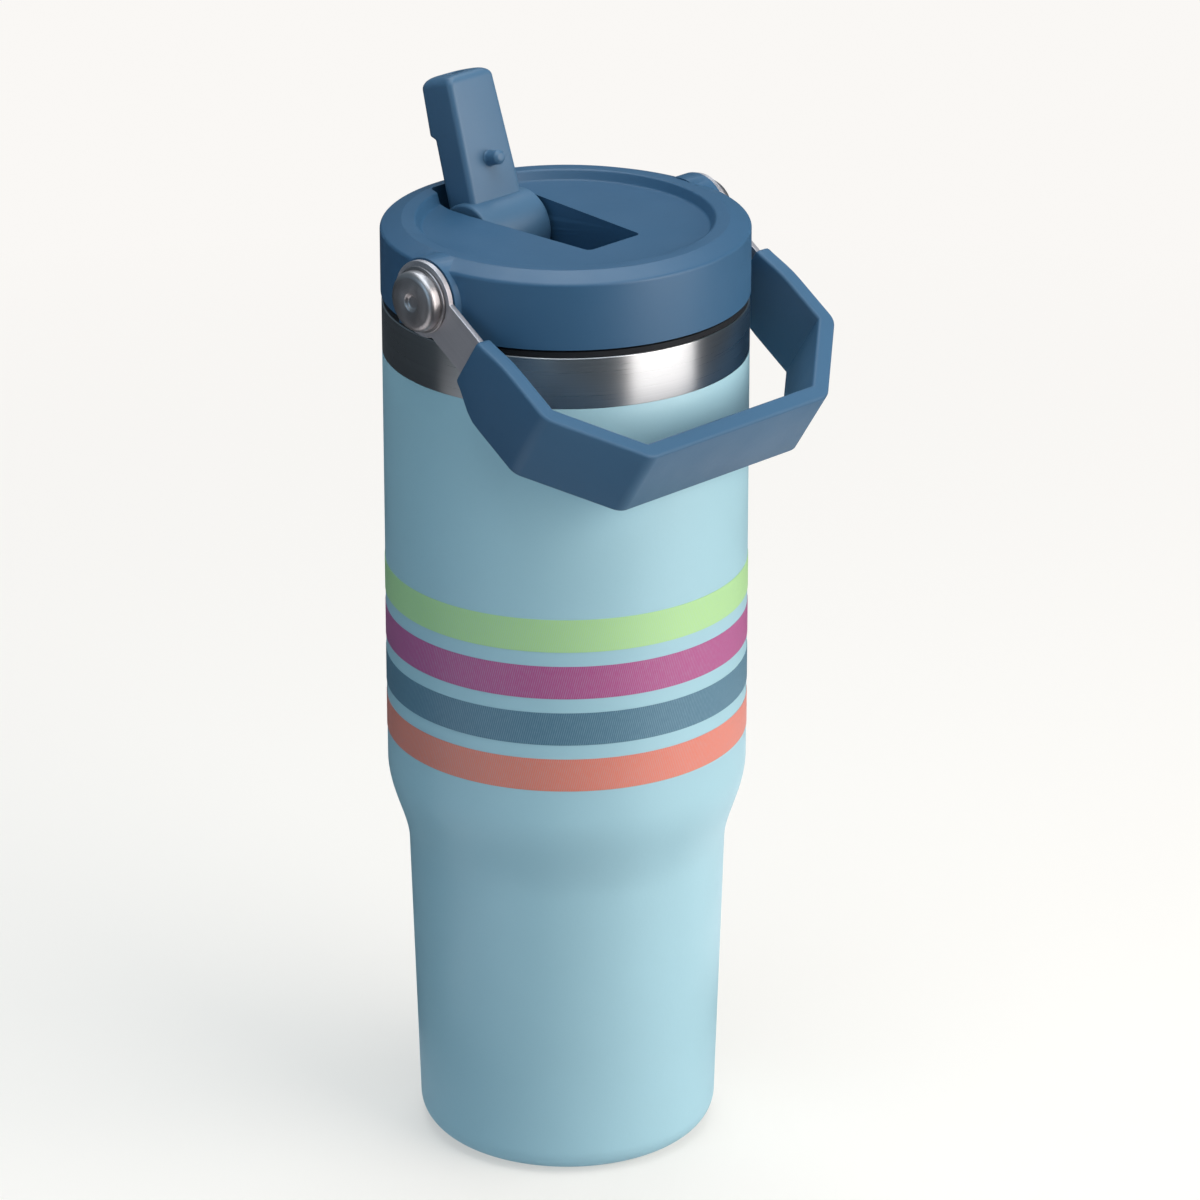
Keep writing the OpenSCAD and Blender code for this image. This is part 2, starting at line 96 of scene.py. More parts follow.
def make_camera():
    data = bpy.data.cameras.new("camera")
    data.lens = CAMERA_LENS
    data.sensor_width = 36
    data.clip_start = 0.05
    camera = bpy.data.objects.new("camera", data)
    bpy.context.scene.collection.objects.link(camera)
    back = TOWARDS * math.cos(CAMERA_ELEVATION) + UP * math.sin(CAMERA_ELEVATION)
    target = UP * AIM_HEIGHT + RIGHT * AIM_RIGHT
    camera.location = target + back * CAMERA_DISTANCE
    camera.rotation_mode = "QUATERNION"
    camera.rotation_quaternion = (-back).to_track_quat("-Z", "Y")
    bpy.context.scene.camera = camera


def area_light(name, position, target, size, power, color):
    data = bpy.data.lights.new(name, "AREA")
    data.shape = "RECTANGLE"
    data.size, data.size_y = size
    data.energy = power
    data.color = color
    light = bpy.data.objects.new(name, data)
    bpy.context.scene.collection.objects.link(light)
    light.location = position
    light.rotation_mode = "QUATERNION"
    light.rotation_quaternion = (Vector(target) - position).to_track_quat("-Z", "Y")
    return light


def make_lights():
    centre = (0, 0, 0.2)
    area_light("key_softbox", around(KEY_ANGLE, 1.25, 0.62), (0, 0, 0.3), (1.1, 1.2), 16.3,
               (1, 0.95, 0.915))
    area_light("top_softbox", around(0.3, 0.3, 1.6), centre, (1.2, 1.2), 14.5, (0.83, 0.93, 1))
    area_light("back_softbox", around(math.pi, 0.8, 1.5), centre, (0.9, 0.7), 7, (0.86, 0.94, 1))
    # From beside, the shine has to stay weaker than the fill, so each has its own light.
    beside, warm = around(BESIDE_ANGLE, 1.4, 0.35), (1, 0.96, 0.94)
    area_light("right_fill", beside, centre, (0.6, 0.9), 6, warm).visible_glossy = False
    area_light("right_sheen", beside, centre, (0.6, 0.9), 2, warm).visible_diffuse = False
    area_light("left_fill", around(LEFT_ANGLE, 1.8, 0.6), centre, (0.8, 1.0), 5, (0.5, 0.76, 1))
    world = bpy.data.worlds.new("studio")
    world.use_nodes = True
    background = world.node_tree.nodes["Background"]
    background.inputs["Color"].default_value = (0.62, 0.83, 1, 1)
    background.inputs["Strength"].default_value = 0.18
    bpy.context.scene.world = world
    bpy.context.scene.view_settings.view_transform = "Standard"


def stage_part(name, points, faces, material, seen_by):
    """A part of the stage that only the named kinds of ray see."""
    mesh = bpy.data.meshes.new(name)
    mesh.from_pydata(points, [], faces)
    mesh.materials.append(material)
    part = bpy.data.objects.new(name, mesh)
    bpy.context.scene.collection.objects.link(part)
    for kind in ("camera", "diffuse", "glossy", "transmission", "shadow"):
        setattr(part, "visible_" + kind, kind in seen_by)


def stage_plane(name, points, material, seen_by):
    """A flat part of the stage with the given outline."""
    stage_part(name, points, [list(range(len(points)))], material, seen_by)


def stage_wall(name, radius, height, material, seen_by):
    """A round wall that stands on the floor."""
    steps = 64
    ring = [around(2 * math.pi * i / steps, radius, 0) for i in range(steps)]
    points = ring + [p + UP * height for p in ring]
    faces = [[i, (i + 1) % steps, (i + 1) % steps + steps, i + steps] for i in range(steps)]
    stage_part(name, points, faces, material, seen_by)


def sector(first, sweep, near, far, height):
    """Outline of a flat ring sector round the tumbler that starts at the angle first."""
    steps = 48
    inner = [around(first + sweep * i / steps, near, height) for i in range(steps + 1)]
    outer = [around(first + sweep * i / steps, far, height) for i in range(steps + 1)]
    return inner + outer[::-1]


STUDIO_WHITE = (1, 0.98, 0.955, 1)
STUDIO_GLOW = 0.955
FLOOR_COLOR, FLOOR_GLOW = (0.53, 0.49, 0.445), 0.44
FLOOR_FADE = (0.1, 0.7)
STAGE_SIDE = 6
BRIGHT_FROM, BRIGHT_SWEEP = math.radians(41), math.radians(44)
PALE_FROM, PALE_SWEEP = math.radians(86), math.radians(76)
WARM_FROM, WARM_SWEEP = math.radians(-84), math.radians(54)
LOW_CARD, HIGH_CARD = 0.0006, 0.0008


def floor_paint():
    """Pale floor that takes light and shadow round the tumbler and is even further out."""
    n = Nodes("floor_paint")
    reach = n.add("ShaderNodeVectorMath", {0: n.place()}, operation="LENGTH").outputs["Value"]
    far = n.spread(reach, 0, 1, *FLOOR_FADE)
    n.set(Roughness=0.9, Specular_IOR_Level=0.0, Emission_Color=STUDIO_WHITE)
    n.set(Base_Color=n.blend(far, FLOOR_COLOR, (0, 0, 0)))
    n.set(Emission_Strength=n.spread(far, FLOOR_GLOW, STUDIO_GLOW, 0, 1))
    return n.material


def card(name, glow, color):
    """A grey card that also glows in a colour."""
    return finish(name, (0.5, 0.5, 0.5), 0.9, Emission_Strength=glow, Emission_Color=(*color, 1))


def make_stage():
    """Floor and wall that the camera sees, a floor that bounces light, and reflection cards."""
    side = STAGE_SIDE
    square = [(-side, -side), (side, -side), (side, side), (-side, side)]
    stage_plane("floor", [(x, y, 0) for x, y in square], floor_paint(), ("camera", "shadow"))
    wall_paint = finish("wall_paint", (0, 0, 0), 0.9, Emission_Strength=STUDIO_GLOW,
                        Emission_Color=STUDIO_WHITE, Specular_IOR_Level=0.0)
    stage_wall("wall", side * 0.9, side, wall_paint, ("camera",))
    plain = finish("bounce_paint", (0.62, 0.65, 0.68), 0.7, mottle=0.004, Emission_Strength=0.15,
                   Emission_Color=(0.9, 0.97, 1, 1))
    stage_plane("floor_bounce", [(x, y, -0.001) for x, y in square], plain,
                ("diffuse", "glossy"))
    # Cards over the floor that only reflections see: a bright one towards the key light, a
    # dark one all round the rest, a pale one close in on the right and a warm one on the left.
    dark = finish("dark_card", (0.018, 0.019, 0.022), 0.9)
    bright = card("bright_card", 0.22, (1, 1, 1))
    pale = card("pale_card", 0.45, (0.9, 0.96, 1))
    warm = card("warm_card", 0.5, (1, 0.9, 0.88))
    rest = (BRIGHT_FROM + BRIGHT_SWEEP, 2 * math.pi - BRIGHT_SWEEP)
    for name, turn, reach, height, paint in (
            ("card_dark", rest, (0.07, 3), LOW_CARD, dark),
            ("card_bright", (BRIGHT_FROM, BRIGHT_SWEEP), (0.15, 3), LOW_CARD, bright),
            ("card_pale", (PALE_FROM, PALE_SWEEP), (0.1, 0.28), HIGH_CARD, pale),
            ("card_warm", (WARM_FROM, WARM_SWEEP), (0.1, 0.46), HIGH_CARD, warm)):
        stage_plane(name, sector(*turn, *reach, height), paint, ("glossy",))


# ---- materials -------------------------------------------------------------------------


class Nodes:
    """Adds and links shader nodes in one material."""

    def __init__(self, name):
        self.material = bpy.data.materials.new(name)
        self.material.use_nodes = True
        self.tree = self.material.node_tree
        self.shader = self.tree.nodes["Principled BSDF"]

    def add(self, kind, inputs=None, **settings):
        node = self.tree.nodes.new(kind)
        for key, value in settings.items():
            setattr(node, key, value)
        for key, value in (inputs or {}).items():
            if isinstance(value, bpy.types.NodeSocket):
                self.tree.links.new(value, node.inputs[key])
            else:
                node.inputs[key].default_value = value
        return node

    def place(self):
        """Coordinates in the part's own frame, in metres."""
        return self.add("ShaderNodeTexCoord").outputs["Object"]

    def stretched(self, scale, rotation=(0, 0, 0)):
        """Coordinates that are first rotated and then scaled along each axis."""
        rotated = self.add("ShaderNodeMapping", {"Vector": self.place(), "Rotation": rotation})
        scaled = self.add("ShaderNodeMapping", {"Vector": rotated.outputs[0], "Scale": scale})
        return scaled.outputs[0]

    def noise(self, scale, detail=2, vector=None, rough=0.5):
        return self.add("ShaderNodeTexNoise", {
            "Vector": vector or self.place(), "Scale": scale, "Detail": detail,
            "Roughness": rough}).outputs["Fac"]

    def spread(self, value, low, high, from_low=0.3, from_high=0.7):
        return self.add("ShaderNodeMapRange", {
            "Value": value, "From Min": from_low, "From Max": from_high,
            "To Min": low, "To Max": high}).outputs["Result"]

    def blend(self, factor, first, second):
        node = self.add("ShaderNodeMix", data_type="RGBA")
        self.tree.links.new(factor, node.inputs[0])
        for socket, value in ((node.inputs[6], first), (node.inputs[7], second)):
            if isinstance(value, bpy.types.NodeSocket):
                self.tree.links.new(value, socket)
            else:
                socket.default_value = (*value, 1)
        return node.outputs[2]

    def bump(self, height, strength, distance, normal=None):
        inputs = {"Height": height, "Strength": strength, "Distance": distance}
        if normal is not None:
            inputs["Normal"] = normal
        return self.add("ShaderNodeBump", inputs).outputs["Normal"]

    def peel(self):
        """Orange peel of the sprayed coat, which also shows through the ink."""
        scale, strength, distance = COAT_PEEL
        return self.bump(self.noise(scale, 1), strength, distance)

    def set(self, **sockets):
        for key, value in sockets.items():
            socket = self.shader.inputs[key.replace("_", " ")]
            if isinstance(value, bpy.types.NodeSocket):
                self.tree.links.new(value, socket)
            else:
                socket.default_value = value


def shade(color, factor):
    return tuple(min(1, c * factor) for c in color)


COAT_BLUE = (0.36, 0.565, 0.62)
COAT_PEEL = (700, 0.1, 0.0002)
SCUFF_HEIGHT = 0.004
STROKE_TURNS = 520
STROKE_SLANT = 2900
INK_THINNING = 0.24


def finish(name, color, roughness, bumps=(), mottle=0.03, mottle_scale=25, metallic=0, **sockets):
    """A plain moulded, painted or cast surface: mottled colour, uneven gloss, fine bumps."""
    n = Nodes(name)
    cloud = n.noise(mottle_scale, 3)
    n.set(Metallic=metallic, **sockets)
    n.set(Base_Color=n.blend(n.spread(cloud, 0, 1), shade(color, 1 - mottle),
                             shade(color, 1 + mottle)))
    n.set(Roughness=n.spread(n.noise(mottle_scale * 3, 4), roughness * 0.9, roughness * 1.1))
    normal = None
    for scale, strength, distance in bumps:
        normal = n.bump(n.noise(scale, 2), strength, distance, normal)
    if normal is not None:
        n.set(Normal=normal)
    return n.material


def brushed(name, color, scale, roughness, rotation=(0, 0, 0), round_z=False, strength=0.12):
    """Bare steel with fine brush lines, long where scale is small and short where it is large.

    Lines that run round Z spread their shine up and down.
    """
    n = Nodes(name)
    lines = n.noise(1, 4, n.stretched(scale, rotation), 0.65)
    n.set(Metallic=1.0, Specular_IOR_Level=0.5)
    n.set(Base_Color=n.blend(n.spread(lines, 0, 1), shade(color, 0.94), shade(color, 1.04)))
    n.set(Roughness=n.spread(lines, roughness * 0.92, roughness * 1.1))
    n.set(Normal=n.bump(lines, strength, 0.00004))
    if round_z:
        n.set(Anisotropic=0.85, Anisotropic_Rotation=0.25)
        n.set(Tangent=n.add("ShaderNodeTangent", direction_type="RADIAL", axis="Z").outputs[0])
    return n.material


def turned(name, color, roughness, axis_height):
    """Steel turned on a lathe, with faint rings round an axis along X at a height."""
    n = Nodes(name)
    flat = n.add("ShaderNodeMapping", {"Vector": n.place(), "Location": (0, 0, -axis_height),
                                       "Scale": (0, 1, 1)}).outputs[0]
    reach = n.add("ShaderNodeVectorMath", {0: flat}, operation="LENGTH").outputs["Value"]
    rings = n.add("ShaderNodeTexNoise", {"W": reach, "Scale": 4500, "Detail": 2},
                  noise_dimensions="1D").outputs["Fac"]
    n.set(Metallic=1.0)
    n.set(Base_Color=n.blend(n.spread(rings, 0, 1), shade(color, 0.94), shade(color, 1.05)))
    n.set(Roughness=n.spread(n.noise(300, 4), roughness * 0.85, roughness * 1.2))
    n.set(Normal=n.bump(rings, 0.06, 0.00002))
    return n.material


def powder_coat(name, color):
    """Satin powder coat: orange peel, a fine grain, and faint scuffs round the heel."""
    n = Nodes(name)
    base = n.blend(n.spread(n.noise(18, 3), 0, 1), shade(color, 0.975), shade(color, 1.025))
    height = n.add("ShaderNodeSeparateXYZ", {0: n.place()}).outputs["Z"]
    low = n.spread(height, 1, 0, 0, SCUFF_HEIGHT)
    scuffs = n.spread(n.noise(220, 6, rough=0.7), 0, 1, 0.58, 0.7)
    worn = n.add("ShaderNodeMath", {0: low, 1: scuffs}, operation="MULTIPLY").outputs[0]
    n.set(Base_Color=n.blend(worn, base, shade(color, 1.35)))
    n.set(Roughness=n.spread(n.noise(60, 4), 0.36, 0.44))
    n.set(Normal=n.bump(n.noise(3200, 2), 0.12, 0.00005, n.peel()))
    return n.material


def printed(name, color):
    """Screen-printed band: fine slanted strokes that let a little of the coat through."""
    n = Nodes(name)
    split = n.add("ShaderNodeSeparateXYZ", {0: n.place()})
    turn = n.add("ShaderNodeMath", {0: split.outputs["Y"], 1: split.outputs["X"]},
                 operation="ARCTAN2").outputs[0]
    arc = n.add("ShaderNodeMath", {0: turn, 1: STROKE_TURNS}, operation="MULTIPLY").outputs[0]
    rise = n.add("ShaderNodeMath", {0: split.outputs["Z"], 1: -STROKE_SLANT},
                 operation="MULTIPLY").outputs[0]
    phase = n.add("ShaderNodeMath", {0: arc, 1: rise}, operation="ADD").outputs[0]
    wave = n.add("ShaderNodeMath", {0: phase}, operation="SINE").outputs[0]
    grain = n.noise(900, 3)
    strokes = n.add("ShaderNodeMath", {0: n.spread(wave, 0, 1, -0.6, 0.9),
                                       1: n.spread(grain, 0.5, 1)}, operation="MULTIPLY").outputs[0]
    solid = tuple(max(0, c * 1.05 - 0.025) for c in color)
    thin = tuple(between(c, coat, INK_THINNING) for c, coat in zip(color, COAT_BLUE))
    n.set(Base_Color=n.blend(strokes, solid, thin))
    n.set(Roughness=n.spread(grain, 0.36, 0.46))
    n.set(Normal=n.bump(strokes, 0.15, 0.00004, n.peel()))
    return n.material


def moulded(name, color, **sockets):
    """Satin plastic with the fine texture of its mould."""
    texture = [(420, 0.05, 0.0003), (3600, 0.2, 0.00006)]
    return finish(name, color, 0.42, texture, mottle=0.04, **sockets)


MATERIALS = {
    "coat": powder_coat("powder_coat", COAT_BLUE),
    "ink_green": printed("ink_green", (0.42, 0.655, 0.28)),
    "ink_magenta": printed("ink_magenta", (0.42, 0.085, 0.23)),
    "ink_navy": printed("ink_navy", (0.095, 0.185, 0.25)),
    "ink_coral": printed("ink_coral", (0.71, 0.205, 0.14)),
    "steel": brushed("brushed_steel", (0.56, 0.56, 0.565), (14, 14, 6000), 0.29, round_z=True,
                     strength=0.02),
    "inner_steel": brushed("liner_steel", (0.55, 0.55, 0.56), (40, 40, 3000), 0.3,
                           round_z=True),
    "lid_plastic": moulded("lid_plastic", (0.036, 0.102, 0.186), Specular_IOR_Level=0.44),
    "silicone": finish("silicone", (0.009, 0.01, 0.012), 0.7, [(1500, 0.1, 0.0001)],
                       Specular_IOR_Level=0.3),
    "straw_plastic": finish("straw_plastic", (0.72, 0.78, 0.8), 0.35, [(300, 0.05, 0.0003)],
                            Transmission_Weight=0.45, IOR=1.49),
    "brass": finish("brass", (0.62, 0.42, 0.16), 0.3, [(2500, 0.15, 0.00005)], metallic=1.0),
    "getter_metal": finish("getter_metal", (0.25, 0.25, 0.26), 0.55, [(1800, 0.3, 0.0001)],
                           metallic=1.0),
}

# Painted light: the grip takes a lighter copy of the lid's blue plastic, standing in for light that
# its arms and bar don't get from the lamps.
GRIP_PLASTIC_PAINTED_LIGHT = moulded("grip_plastic_painted_light", (0.052, 0.12, 0.202), Specular_IOR_Level=0.25)
# Painted light: the spout and its nub take an even lighter copy of the lid's blue plastic, standing
# in for light on the spout's front and drum that the lamps don't give.
SPOUT_PLASTIC_PAINTED_LIGHT = moulded("spout_plastic_painted_light", (0.06, 0.135, 0.222))
FITTING_STEEL = turned("turned_steel", (0.47, 0.44, 0.44), 0.4, PIVOT_Z)
STRAP_STEEL = brushed("strap_steel", (0.6, 0.56, 0.57), (400, 40, 4000), 0.5,
                      rotation=(-DROOP, 0, 0), strength=0.02)


# ---- pieces ----------------------------------------------------------------------------

WELD_WITHIN = 2e-6
FLAT_WITHIN = math.radians(0.5)
BEVEL_FROM = math.radians(28)


def add_piece(name, mesh, node, material):
    """A new piece that stands for a CAD node, rides on its body and takes the given material."""
    piece = bpy.data.objects.new(name, mesh)
    mesh.materials.clear()
    mesh.materials.append(material)
    bpy.context.scene.collection.objects.link(piece)
    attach(piece, BODY_OF[node])
    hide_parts(node)
    return piece


def smooth(mesh, sharp_degrees=35):
    mesh.shade_smooth()
    mesh.set_sharp_from_angle(angle=math.radians(sharp_degrees))


def refine(node, name, edge=0.0, segments=3, material=None):
    """A copy of a CAD solid with whole flat faces again and its edges rounded by edge."""
    work = bmesh.new()
    work.from_mesh(frame["nodes"][node].data)
    bmesh.ops.remove_doubles(work, verts=work.verts, dist=WELD_WITHIN)
    bmesh.ops.dissolve_limit(work, angle_limit=FLAT_WITHIN, verts=work.verts, edges=work.edges)
    mesh = bpy.data.meshes.new(name)
    work.to_mesh(mesh)
    work.free()
    piece = add_piece(name, mesh, node, material or MATERIALS[SLOT_OF[node]])
    smooth(mesh)
    if edge:
        bevel = piece.modifiers.new("rounded_edges", "BEVEL")
        bevel.width = edge
        bevel.segments = segments
        bevel.limit_method = "ANGLE"
        bevel.angle_limit = BEVEL_FROM
        bevel.harden_normals = True
        bevel.miter_outer = "MITER_ARC"


def mesh_of(work, name, sharp_degrees=35):
    bmesh.ops.recalc_face_normals(work, faces=work.faces)
    mesh = bpy.data.meshes.new(name)
    work.to_mesh(mesh)
    work.free()
    smooth(mesh, sharp_degrees)
    return mesh


def add_rings(work, rings, closed=False):
    """Quads between rings of points that all have the same count."""
    rows = [[work.verts.new(p) for p in ring] for ring in rings]
    count = len(rows[0])
    pairs = list(zip(rows, rows[1:])) + ([(rows[-1], rows[0])] if closed else [])
    for here, there in pairs:
        for k in range(count):
            m = (k + 1) % count
            work.faces.new((here[k], there[k], there[m], here[m]))
    return rows


def add_loft(work, rings):
    """A closed solid through rings of points, with flat ends."""
    rows = add_rings(work, rings)
    work.faces.new(rows[0])
    work.faces.new(rows[-1])


def add_lathe(work, profile, segments, place):
    """A closed solid of revolution from (radius, along) points; place(r, angle, along)."""
    add_rings(work, [[place(r, 2 * math.pi * i / segments, along) for r, along in profile]
                     for i in range(segments)], closed=True)


def upright(r, angle, z):
    return (r * math.cos(angle), r * math.sin(angle), z)


def arc_points(centre, radius, start, end, steps):
    """Points on an arc between two angles in degrees."""
    points = []
    for i in range(steps + 1):
        a = math.radians(start + (end - start) * i / steps)
        points.append((centre[0] + radius * math.cos(a), centre[1] + radius * math.sin(a)))
    return points


SHEET, SHELL_LIP = 0.5 * MM, 0.2 * MM
WAIST_R, HEEL_R, HEEL_CORNER = 39.6 * MM, 37.5 * MM, 7 * MM
SHOULDER = (77 * MM, 101 * MM)


def shell_radius(z, body_r):
    """Outer radius at a height: the tapered foot, then the eased shoulder up to the body."""
    if z <= SHOULDER[0]:
        return between(HEEL_R, WAIST_R, (z - HEEL_CORNER) / (SHOULDER[0] - HEEL_CORNER))
    return between(WAIST_R, body_r, ease((z - SHOULDER[0]) / (SHOULDER[1] - SHOULDER[0])))


def build_shell():
    """The coated outer shell, spun from its profile with a finer shoulder than the solid's."""
    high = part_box("outer_shell")[1]
    body_r, top = high.x, high.z
    lip, steps = SHELL_LIP, 40
    heights = [between(HEEL_CORNER, SHOULDER[0], i / 6) for i in range(1, 6)]
    heights += [between(*SHOULDER, i / steps) for i in range(steps + 1)]
    heights += [between(SHOULDER[1], top - lip, i / 8) for i in range(1, 9)]
    foot = (HEEL_R - HEEL_CORNER, HEEL_CORNER)
    disc_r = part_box("base_disc")[1].x
    profile = [(disc_r, 0)] + arc_points(foot, HEEL_CORNER, -90, 0, 20)
    profile += [(shell_radius(z, body_r), z) for z in heights]
    profile += [(body_r - lip * 0.3, top - lip * 0.3), (body_r - lip, top), (body_r - SHEET, top)]
    profile += [(shell_radius(z, body_r) - SHEET, z) for z in heights[::-1]]
    profile += arc_points(foot, HEEL_CORNER - SHEET, 0, -90, 10) + [(disc_r, SHEET)]
    work = bmesh.new()
    add_lathe(work, profile, 192, upright)
    add_piece("coated_shell", mesh_of(work, "coated_shell", 40), "outer_shell", MATERIALS["coat"])


def build_vessel():
    build_shell()
    refine("neck_ring", "neck_band")
    refine("inner_liner", "liner")
    refine("base_disc", "base_plate", 0.15 * MM, 2)
    for colour in ("green", "magenta", "navy", "coral"):
        refine("band_" + colour, "print_" + colour)
    for node in ("shell_bottom", "vacuum_plug", "getter"):
        refine(node, node + "_piece")


def build_lid():
    refine("lid_cover", "cover", 0.3 * MM, 2)
    refine("lid_plug", "plug")
    refine("lid_gasket", "gasket", 0.3 * MM, 3)
    refine("vent_valve", "valve")
    refine("spout_seal", "drum_seal")
    refine("straw", "straw_tube", 0.15 * MM, 2)
    refine("spout_pin", "hinge_pin", 0.2 * MM, 2)
    for side in ("left", "right"):
        refine("pivot_insert_" + side, "insert_" + side)
        refine("pivot_washer_" + side, "washer_" + side, 0.2 * MM, 3, FITTING_STEEL)
        refine("pivot_bolt_" + side, "bolt_" + side, 0.2 * MM, 3, FITTING_STEEL)


HINGE_Y, HINGE_Z = 24.4 * MM, 231.5 * MM
SPOUT_LEAN = math.radians(17.8)
SPOUT_START, SPOUT_LENGTH = 1 * MM, 40.2 * MM
ROOT_HALF, TIP_HALF = 8.6 * MM, 7.4 * MM
SPOUT_FRONT, SPOUT_BACK = -3.6 * MM, 7.3 * MM
PAD_BACK, PAD_TIP_BACK = 9 * MM, 8.4 * MM
PAD_FOOT = (SPOUT_LENGTH - 15.2 * MM, SPOUT_LENGTH - 13.6 * MM)
NEAR_EDGE, FAR_EDGE = 1.6 * MM, 3 * MM
CROWN = 2.4 * MM
BORE_R, BORE_N, BORE_DEPTH = 2.8 * MM, 3 * MM, 24 * MM
MOUTH_EDGE, MOUTH_FLAT, MOUTH_DIP = 0.3 * MM, 0.1 * MM, 0.02 * MM
DRUM_EDGE, DRUM_HOLE_R = 0.7 * MM, 2 * MM


def along_spout(x, n, t):
    """From the spout's own frame, n to its back and t along it, to the part's frame."""
    return (x, HINGE_Y + n * math.cos(SPOUT_LEAN) + t * math.sin(SPOUT_LEAN),
            HINGE_Z - n * math.sin(SPOUT_LEAN) + t * math.cos(SPOUT_LEAN))


def spout_section(t, inset):
    """Rounded rectangle round the spout at height t, moved inwards by inset."""
    half = between(ROOT_HALF, TIP_HALF, t / SPOUT_LENGTH) - inset
    front = SPOUT_FRONT + inset
    pad_back = between(PAD_BACK, PAD_TIP_BACK,
                       (t - PAD_FOOT[1]) / (SPOUT_LENGTH - PAD_FOOT[1]))
    pad = ease((t - PAD_FOOT[0]) / (PAD_FOOT[1] - PAD_FOOT[0]))
    back = between(SPOUT_BACK, pad_back, pad) - inset
    near_r, far_r = NEAR_EDGE + inset * 0.5, FAR_EDGE + inset * 0.2
    ring = arc_points((half - far_r, back - far_r), far_r, 0, 90, 7)
    ring += arc_points((-half + far_r, back - far_r), far_r, 90, 180, 7)
    ring += arc_points((-half + near_r, front + near_r), near_r, 180, 270, 7)
    ring += arc_points((half - near_r, front + near_r), near_r, 270, 360, 7)
    return ring


def spout_rings():
    """Rings up the spout, over its crowned tip, round the mouth and down the drinking bore."""
    crown_t = SPOUT_LENGTH - CROWN
    levels = [(between(SPOUT_START, PAD_FOOT[0], i / 5), 0) for i in range(6)]
    levels += [(between(*PAD_FOOT, i / 6), 0) for i in range(1, 7)]
    levels += [(between(PAD_FOOT[1], crown_t, i / 4), 0) for i in range(1, 5)]
    levels += [(crown_t + CROWN * math.sin(math.radians(a)),
                CROWN * (1 - math.cos(math.radians(a)))) for a in range(12, 85, 12)]
    rings = [[along_spout(x, n, t) for x, n in spout_section(t, inset)] for t, inset in levels]
    angles = [math.atan2(n - BORE_N, x) for x, n in spout_section(*levels[-1])]
    edge, top = MOUTH_EDGE, SPOUT_LENGTH
    mouth = [(BORE_R + edge + MOUTH_FLAT, top), (BORE_R + edge, top - MOUTH_DIP)]
    mouth += [(BORE_R + edge * (1 - math.sin(math.radians(a))),
               top - edge * (1 - math.cos(math.radians(a)))) for a in (30, 60, 90)]
    mouth += [(BORE_R, top - BORE_DEPTH)]
    for r, t in mouth:
        rings.append([along_spout(r * math.cos(a), BORE_N + r * math.sin(a), t) for a in angles])
    return rings


def add_drum(work):
    """The hinge drum at the foot of the spout, which turns about the hinge pin."""
    low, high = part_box("spout")
    half, drum_r, end = high.x, HINGE_Z - low.z, DRUM_EDGE
    profile = [(DRUM_HOLE_R, -half)]
    profile += arc_points((drum_r - end, -half + end), end, -90, 0, 5)
    profile += arc_points((drum_r - end, half - end), end, 0, 90, 5)
    profile += [(DRUM_HOLE_R, half)]
    add_lathe(work, profile, 96, lambda r, angle, x: (
        x, HINGE_Y + r * math.cos(angle), HINGE_Z + r * math.sin(angle)))


def build_spout():
    work = bmesh.new()
    add_loft(work, spout_rings())
    add_drum(work)
    add_piece("drinking_spout", mesh_of(work, "drinking_spout"), "spout", SPOUT_PLASTIC_PAINTED_LIGHT)
    refine("vent_nub", "nub", 0.25 * MM, 3, SPOUT_PLASTIC_PAINTED_LIGHT)


HANDLE_REACH = 66 * MM
GRIP_CORNER, GRIP_ROUND = 19.5 * MM, 5 * MM
GRIP_T = 4.4 * MM
GRIP_START = 20 * MM
GRIP_EDGE, GRIP_FOOT = 0.8 * MM, 0.9 * MM
FLARE_FROM, FLARE_TOP, FLARE_BOTTOM = 18 * MM, 14 * MM, 13 * MM
ARM_HALF, BAR_TOP, BAR_BOTTOM = 6.8 * MM, 8.4 * MM, 12 * MM


def along_handle(x, out, up):
    """From the handle's own frame, out from its pivots and up, to the part's frame."""
    return (x, -out * math.cos(DROOP) - up * math.sin(DROOP),
            PIVOT_Z - out * math.sin(DROOP) + up * math.cos(DROOP))


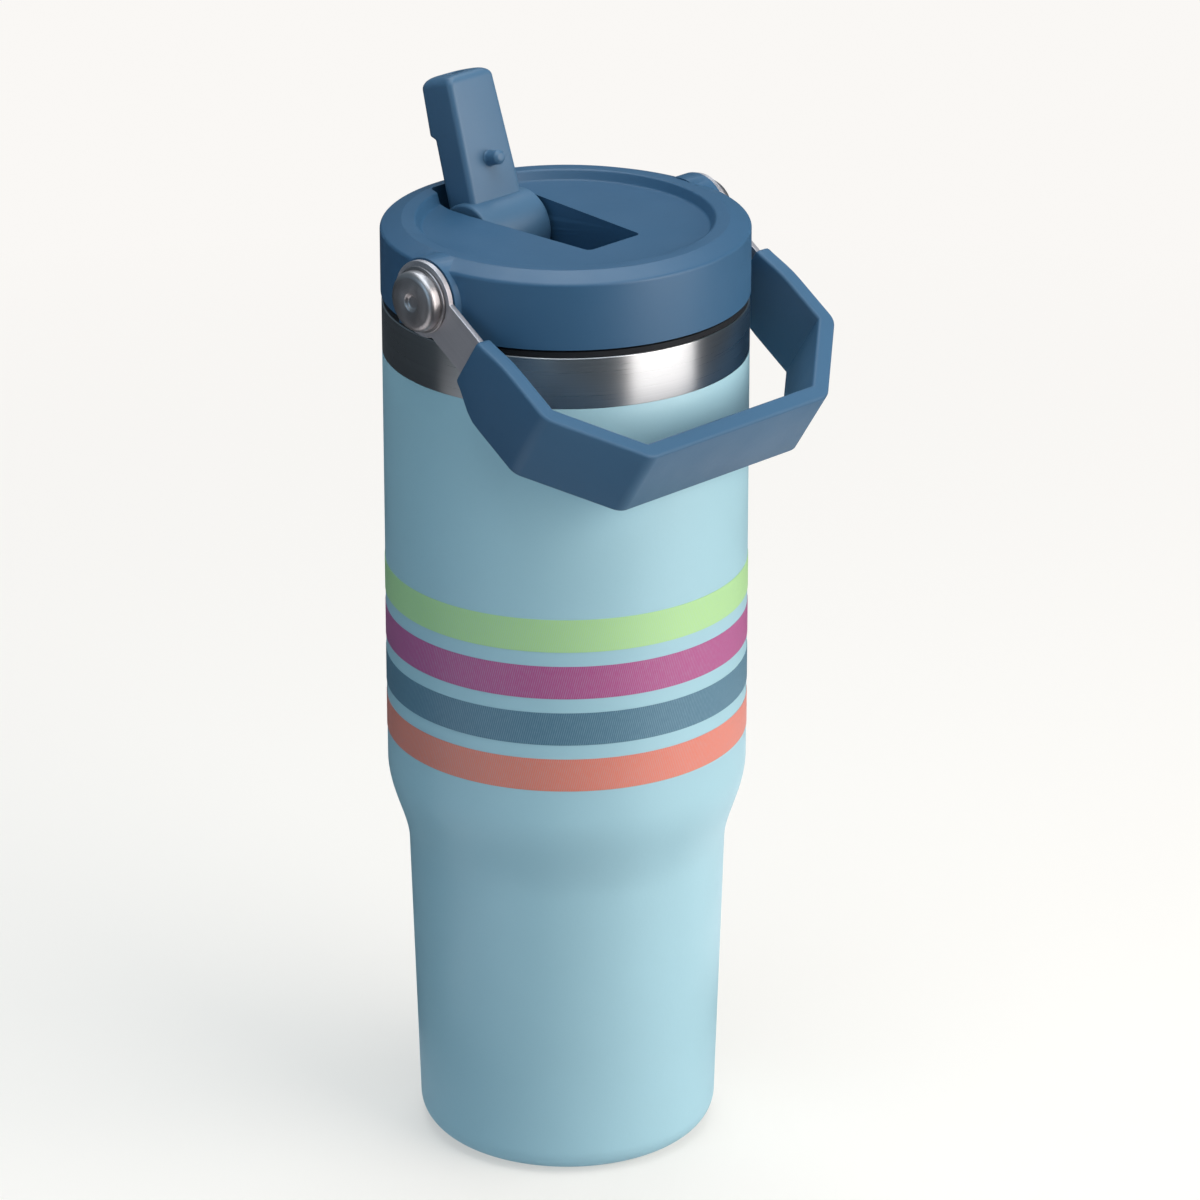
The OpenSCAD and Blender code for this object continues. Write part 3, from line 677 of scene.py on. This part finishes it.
def grip_path(half):
    """(x, out, inward normal) round the grip's outer face, from the left strap to the right."""
    side, bar, r = HANDLE_REACH - GRIP_CORNER, half - GRIP_CORNER, GRIP_ROUND
    setback = r * math.tan(math.radians(22.5))
    path = [(-half, between(GRIP_START, side - setback, i / 10), 0.0) for i in range(11)]
    path += [(-half + r - r * math.cos(math.radians(a)),
              side - setback + r * math.sin(math.radians(a)), float(a)) for a in range(5, 46, 5)]
    start = path[-1]
    lean = math.radians(45)
    end = (-bar - setback * math.cos(lean), HANDLE_REACH - setback * math.sin(lean))
    path += [(between(start[0], end[0], i / 6), between(start[1], end[1], i / 6), 45.0)
             for i in range(1, 7)]
    corner = (-bar + setback, HANDLE_REACH - r)
    path += [(corner[0] - r * math.cos(math.radians(a)), corner[1] + r * math.sin(math.radians(a)),
              float(a)) for a in range(50, 91, 5)]
    middle = path[-1]
    path += [(between(middle[0], 0, i / 5), HANDLE_REACH, 90.0) for i in range(1, 6)]
    return path + [(-x, out, 180 - turn) for x, out, turn in path[-2::-1]]


def grip_heights(out):
    """Top and bottom of the grip at a distance from the pivots."""
    top = between(ARM_HALF, BAR_TOP, ease((out - FLARE_FROM) / FLARE_TOP))
    bottom = -between(ARM_HALF, BAR_BOTTOM, ease((out - FLARE_FROM) / FLARE_BOTTOM))
    return top, bottom


def grip_section(x, out, turn, inset):
    """Closed ring round the band at one point of its path, with rounded edges."""
    a = math.radians(turn)
    inward = (math.cos(a), -math.sin(a))
    top, bottom = grip_heights(out)
    thin, high = GRIP_T / 2 - inset, (top - bottom) / 2 - inset
    middle = (top + bottom) / 2
    r, foot = min(GRIP_EDGE, thin * 0.95), min(GRIP_FOOT, thin * 0.95)
    ring = arc_points((thin - r, high - r), r, 0, 90, 5)
    ring += arc_points((-thin + r, high - r), r, 90, 180, 5)
    ring += [(-thin, -high + foot), (-thin + foot * 0.18, -high + foot * 0.62),
             (-thin + foot * 0.62, -high + foot * 0.18), (-thin + foot, -high)]
    ring += arc_points((thin - r, -high + r), r, 270, 360, 5)
    points = []
    for u, v in ring:
        depth = GRIP_T / 2 + u
        points.append(along_handle(x + inward[0] * depth, out + inward[1] * depth, middle + v))
    return points


def grip_end(station, angles):
    """The rings of the grip's rounded end at the first or last point of its path."""
    x, out, turn = station
    r = GRIP_EDGE
    return [grip_section(x, out + r * (1 - math.cos(math.radians(a))), turn,
                         r * (1 - math.sin(math.radians(a)))) for a in angles]


def build_handle():
    path = grip_path(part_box("handle_grip")[1].x)
    front, back = grip_end(path[0], (0, 30, 60, 90)), grip_end(path[-1], (90, 60, 30, 0))
    work = bmesh.new()
    add_loft(work, front + [grip_section(*station, 0) for station in path[1:-1]] + back)
    add_piece("grip", mesh_of(work, "grip", 40), "handle_grip", GRIP_PLASTIC_PAINTED_LIGHT)
    for side in ("left", "right"):
        refine("handle_strap_" + side, "strap_" + side, 0.15 * MM, 3, STRAP_STEEL)


make_camera()
make_lights()
make_stage()
build_vessel()
build_lid()
build_spout()
build_handle()
